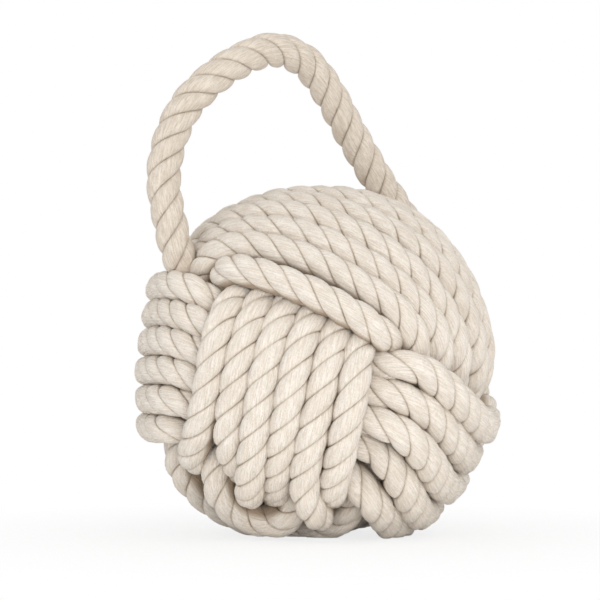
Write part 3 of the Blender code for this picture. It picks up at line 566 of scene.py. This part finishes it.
sideRoute = [
    (-23.3, -42.0, 25.0), (-27.4, -38.5, 24.0), (-39.1, -31.9, 23.8), (-49.8, -28.1, 34.1),
    (-60.0, -27.0, 38.1), (-68.1, -27.4, 28.2), (-73.1, -27.4, 8.7), (-74.4, -27.2, -12.4),
    (-68.4, -27.8, -31.8), (-57.8, -30.1, -43.9), (-46.8, -35.4, -47.7), (-36.9, -33.9, -42.8),
    (-27.5, -29.9, -38.5), (-16.7, -31.0, -39.8), (-3.2, -38.7, -35.1), (7.3, -45.4, -24.8),
    (6.9, -49.6, -17.6), (4.7, -51.5, -8.8), (1.3, -50.1, 6.9), (-6.9, -46.7, 24.3),
    (-16.3, -39.5, 36.4), (-25.5, -32.0, 44.3), (-35.8, -25.4, 47.8), (-46.2, -18.9, 46.2),
    (-56.9, -15.1, 46.5), (-66.4, -14.1, 36.9), (-73.1, -14.6, 17.0), (-74.7, -14.9, -5.8),
    (-70.0, -15.5, -26.6), (-61.7, -15.9, -43.0), (-51.5, -14.1, -51.8), (-39.3, -13.4, -55.3),
    (-24.5, -16.2, -57.2), (-11.4, -19.0, -52.1), (-1.7, -26.7, -45.6), (13.0, -36.7, -33.8),
    (24.4, -44.1, -20.7), (32.4, -53.3, -16.7), (40.1, -64.6, -13.7), (40.9, -71.5, -5.2),
    (36.1, -70.9, 15.9), (26.5, -58.8, 43.4), (15.1, -45.2, 45.7), (-5.4, -34.8, 51.6),
    (-21.0, -23.8, 54.4), (-33.1, -14.3, 53.2), (-44.1, -7.5, 50.7), (-53.8, -3.2, 48.8),
    (-62.8, -0.9, 40.4), (-71.2, -1.3, 23.3), (-75.1, -2.3, 1.7), (-72.8, -3.3, -19.7),
    (-65.6, -3.8, -38.9), (-55.5, -2.9, -53.7), (-42.9, -2.6, -60.4), (-28.7, -3.6, -60.0),
    (-13.0, -7.3, -60.6), (4.3, -13.4, -60.6), (21.4, -21.0, -57.0), (34.1, -33.1, -49.9),
    (43.5, -46.1, -41.8), (51.9, -53.8, -33.2), (54.1, -60.9, -17.8), (50.9, -66.0, 1.0),
    (46.4, -63.9, 23.5), (39.7, -50.6, 45.7), (27.0, -34.4, 54.3), (8.7, -29.3, 57.4),
    (-6.2, -20.9, 58.9), (-19.6, -9.4, 58.1), (-32.7, -0.5, 54.6), (-44.6, 5.6, 52.9),
    (-54.7, 9.7, 49.6), (-63.7, 12.0, 38.8), (-70.7, 11.7, 20.9), (-73.7, 10.3, -0.4),
    (-70.9, 8.8, -21.4), (-62.8, 8.1, -39.3), (-51.9, 8.4, -51.2), (-39.9, 8.8, -56.9),
    (-25.9, 8.0, -59.2), (-10.1, 4.5, -60.9), (7.0, -1.5, -60.7), (24.1, -8.5, -57.3),
    (40.7, -16.2, -50.4), (56.9, -25.1, -42.1), (65.4, -37.5, -32.5), (65.9, -48.4, -19.1),
    (62.1, -54.8, 1.5), (56.4, -50.0, 30.9), (48.2, -36.6, 55.8), (36.0, -25.7, 66.4),
    (20.1, -20.3, 63.2), (4.5, -12.7, 60.9), (-10.9, -0.2, 59.7), (-26.1, 9.9, 55.5),
    (-38.2, 15.8, 52.8), (-48.5, 20.1, 52.2), (-57.2, 23.2, 43.9), (-65.6, 24.5, 28.0),
    (-71.1, 23.5, 8.2), (-71.1, 21.6, -12.9), (-65.0, 20.3, -32.0), (-54.9, 20.1, -45.2),
    (-44.0, 20.3, -51.8), (-31.8, 19.8, -54.9), (-16.8, 18.5, -57.5), (1.3, 13.4, -59.1),
    (19.5, 6.5, -57.4), (35.8, -0.3, -53.3), (51.0, -5.6, -49.2), (64.8, -14.3, -42.6),
    (71.6, -26.0, -30.7), (71.4, -36.3, -15.0), (69.1, -41.0, 6.3), (63.3, -33.9, 35.0),
    (51.7, -20.7, 56.1), (38.3, -11.6, 64.8), (24.7, -9.0, 63.8), (11.3, -2.8, 58.7),
    (-4.3, 8.9, 54.7), (-20.5, 18.1, 48.0), (-34.5, 23.1, 44.1), (-44.3, 29.8, 46.4),
    (-52.8, 35.1, 44.6), (-62.0, 36.8, 32.5), (-68.2, 36.1, 13.1), (-69.7, 34.2, -8.2),
    (-64.9, 32.6, -28.6), (-55.7, 32.2, -44.7), (-44.9, 32.5, -52.9), (-33.2, 31.7, -52.7),
    (-19.2, 29.4, -50.5), (-1.2, 25.4, -53.1), (17.4, 20.2, -53.8), (34.4, 17.4, -50.2),
    (48.9, 13.6, -47.3), (61.8, 4.3, -44.4), (72.3, -8.1, -33.9), (77.9, -19.9, -19.0),
    (78.3, -27.0, 1.8), (73.4, -24.2, 28.5), (63.8, -14.1, 50.4), (52.4, -3.3, 63.1),
    (42.5, 2.3, 67.9), (34.9, 1.6, 65.6), (25.6, 2.2, 58.3), (18.1, 6.4, 49.7),
]

packedRope = {
    "Radius": 0.0073, "Lay Length": 0.0358, "Around": 42, "Side Press": 0.94, "Shoulder": 0.30,
    "Groove Depth": 0.25, "Floor": 0.0003, "Unevenness": 0.12,
}
packedTurns = {
    "softness": 0.0045,
    "packed": 1.0,
    "colours": {
        # the darker colours paint shade on the rope's sides, in its seams and between turns; the cloud
        # noise also uses the shade colour for random tone
        "Light Cotton": (0.92, 0.86, 0.78, 1), "Plain Cotton": (0.75, 0.66, 0.565, 1),
        "Shade And Cloud Cotton": (0.70, 0.61, 0.50, 1), "Seam": (0.38, 0.28, 0.19, 1),
    },
}
topSettings = {
    **packedTurns, "name": "top-turns-rope", "node": "top_turns", "slot": "cotton_top_turns",
    "material": "cotton-top-turns", "route": topRoute,
    "rope": {
        **packedRope, "Spacing": 0.0018, "Seed": 1.0,
        "Swell": 0.16, "Swell Toward": (0.98, 0.15, 0.12)},
}
frontSettings = {
    **packedTurns, "name": "front-turns-rope", "node": "front_turns", "slot": "cotton_front_turns",
    "material": "cotton-front-turns", "route": frontRoute,
    "rope": {
        **packedRope, "Spacing": 0.0017, "Seed": 2.0,
        "Swell": 0.07, "Swell Toward": (0.25, -0.96, -0.10)},
}
sideSettings = {
    **packedTurns, "name": "side-turns-rope", "node": "side_turns", "slot": "cotton_side_turns",
    "material": "cotton-side-turns", "route": sideRoute,
    "rope": {
        **packedRope, "Spacing": 0.0017, "Seed": 3.0,
        "Swell": 0.20, "Swell Toward": (0.80, -0.15, -0.58)},
}


def makeTurns(settings):
    path = softPath(settings["route"], settings["softness"], pathSettings)
    rope = makeRope(settings, path, makeCotton(settings))
    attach(rope, "knot")
    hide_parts(settings["node"])
    print(settings["name"], len(rope.data.polygons), "faces")


for oneSet in (topSettings, frontSettings, sideSettings):
    makeTurns(oneSet)

innerPattern = {
    "threadFactor": 3,
    "threadShare": 0.3,
    "grainDetail": 3.0,
    "threadRange": (0.2, 0.9),
    "bump": {"Strength": 0.4, "Distance": 0.0005},
    "roughness": 0.9,
}
innerSettings = {
    "core_bag": {
        "name": "canvas-bag", "scale": 900.0,
        "colour": (0.62, 0.53, 0.40, 1), "darker": (0.42, 0.34, 0.24, 1)},
    "mouth_patch": {
        "name": "canvas-patch", "scale": 900.0,
        "colour": (0.70, 0.62, 0.50, 1), "darker": (0.50, 0.42, 0.31, 1)},
    "core_filling": {
        "name": "dry-sand", "scale": 2500.0,
        "colour": (0.50, 0.38, 0.24, 1), "darker": (0.28, 0.20, 0.12, 1)},
}


def clothInnerNode(node, settings, pattern):
    material = bpy.data.materials.new(settings["name"])
    material.use_nodes = True
    wiring = Wiring(material.node_tree)
    shader = material.node_tree.nodes["Principled BSDF"]
    spot = wiring.node("ShaderNodeTexCoord").outputs["Object"]
    x, y, z = wiring.split(spot)
    threads = settings["scale"] * pattern["threadFactor"]
    warp = wiring.maths("SINE", wiring.maths("MULTIPLY", wiring.maths("ADD", x, y), threads))
    weft = wiring.maths("SINE", wiring.maths("MULTIPLY", z, threads))
    grain = wiring.noise(spot, {"Scale": settings["scale"], "Detail": pattern["grainDetail"]})
    woven = wiring.maths("MULTIPLY", wiring.maths("MULTIPLY", warp, weft), pattern["threadShare"])
    woven = wiring.maths("ADD", woven, grain)
    colour = wiring.mixed(
        wiring.ranged(woven, *pattern["threadRange"]), settings["darker"], settings["colour"])
    bump = wiring.node("ShaderNodeBump", {**pattern["bump"], "Height": woven}).outputs["Normal"]
    wiring.feed(shader.inputs["Base Color"], colour)
    wiring.feed(shader.inputs["Normal"], bump)
    shader.inputs["Roughness"].default_value = pattern["roughness"]
    solid = bpy.data.objects[node]
    solid.data.materials.clear()
    solid.data.materials.append(material)


for innerNode, innerLook in innerSettings.items():
    clothInnerNode(innerNode, innerLook, innerPattern)
print("inner solids dressed")

stageSettings = {
    "floorReach": 3.0, "backAt": 2.6, "wallHeight": 3.0,
    "colour": (0.93, 0.93, 0.93, 1), "roughness": 0.9,
    "shadowNear": 0.10, "shadowFar": 0.22, "nearWhite": 0.80,
}


# Pale floor that glows white to the camera, a little less near the object so that its shadow shows.
def whiteBackdrop(settings):
    material = bpy.data.materials.new("pale-floor")
    material.use_nodes = True
    nodes = material.node_tree.nodes
    wiring = Wiring(material.node_tree)
    shader = nodes["Principled BSDF"]
    shader.inputs["Base Color"].default_value = settings["colour"]
    shader.inputs["Roughness"].default_value = settings["roughness"]
    spot = wiring.node("ShaderNodeTexCoord").outputs["Object"]
    away = wiring.vector("LENGTH", spot).outputs["Value"]
    white = wiring.ranged(away, settings["shadowNear"], settings["shadowFar"], settings["nearWhite"], 1.0)
    share = wiring.maths("MULTIPLY", white, wiring.seenByCamera())
    glow = wiring.node("ShaderNodeEmission", {"Color": (1, 1, 1, 1), "Strength": 1.0}).outputs["Emission"]
    mix = wiring.node("ShaderNodeMixShader")
    for socket, value in enumerate((share, shader.outputs["BSDF"], glow)):
        wiring.feed(mix.inputs[socket], value)
    wiring.feed(nodes["Material Output"].inputs["Surface"], mix.outputs[0])
    return material


def makeStage(settings):
    reach, back, high = settings["floorReach"], settings["backAt"], settings["wallHeight"]
    material = whiteBackdrop(settings)
    for name, corners in (
            ("floor", [(-reach, -reach, 0), (reach, -reach, 0), (reach, back, 0), (-reach, back, 0)]),
            ("backdrop", [(-reach, back, 0), (reach, back, 0), (reach, back, high), (-reach, back, high)])):
        mesh = bpy.data.meshes.new(name)
        mesh.from_pydata(corners, [], [(0, 1, 2, 3)])
        mesh.materials.append(material)
        surface = bpy.data.objects.new(name, mesh)
        bpy.context.collection.objects.link(surface)


makeStage(stageSettings)

lightSettings = {
    "worldStrength": 0.79,
    "lamps": {
        "key": {"at": (0.6, -1.2, 1.3), "size": 1.4, "power": 4.6, "colour": (1.0, 0.985, 0.96)},
        "fill": {"at": (-1.3, -0.9, 0.7), "size": 1.4, "power": 3.5, "colour": (0.96, 0.98, 1.0)},
        "low": {"at": (0.2, -1.2, 0.06), "size": 0.6, "power": 7.0, "colour": (1.0, 0.99, 0.97)},
        "bounce": {
            "at": (0.0, -0.30, 0.004), "aim": (0.0, -0.30, 1.0),
            "size": 0.5, "power": 0.14, "colour": (1.0, 0.98, 0.95)},
    },
}


def makeLight(name, settings):
    data = bpy.data.lights.new(name, "AREA")
    data.size = settings["size"]
    data.energy = settings["power"]
    data.color = settings["colour"]
    lamp = bpy.data.objects.new(name, data)
    lamp.location = settings["at"]
    facing = Vector(settings.get("aim", ballMiddle)) - Vector(settings["at"])
    lamp.rotation_euler = facing.to_track_quat("-Z", "Y").to_euler()
    lamp.visible_camera = False
    bpy.context.collection.objects.link(lamp)


def makeWorld(settings):
    world = bpy.data.worlds.new("studio")
    world.use_nodes = True
    bpy.context.scene.world = world
    background = world.node_tree.nodes["Background"]
    wiring = Wiring(world.node_tree)
    background.inputs["Color"].default_value = (1, 1, 1, 1)
    strength = wiring.ranged(wiring.seenByCamera(), 0.0, 1.0, settings["worldStrength"], 1.0)
    wiring.feed(background.inputs["Strength"], strength)
    for name, lamp in settings["lamps"].items():
        makeLight(name, lamp)


makeWorld(lightSettings)
bpy.context.scene.view_settings.view_transform = "Standard"
print("stage and light made")
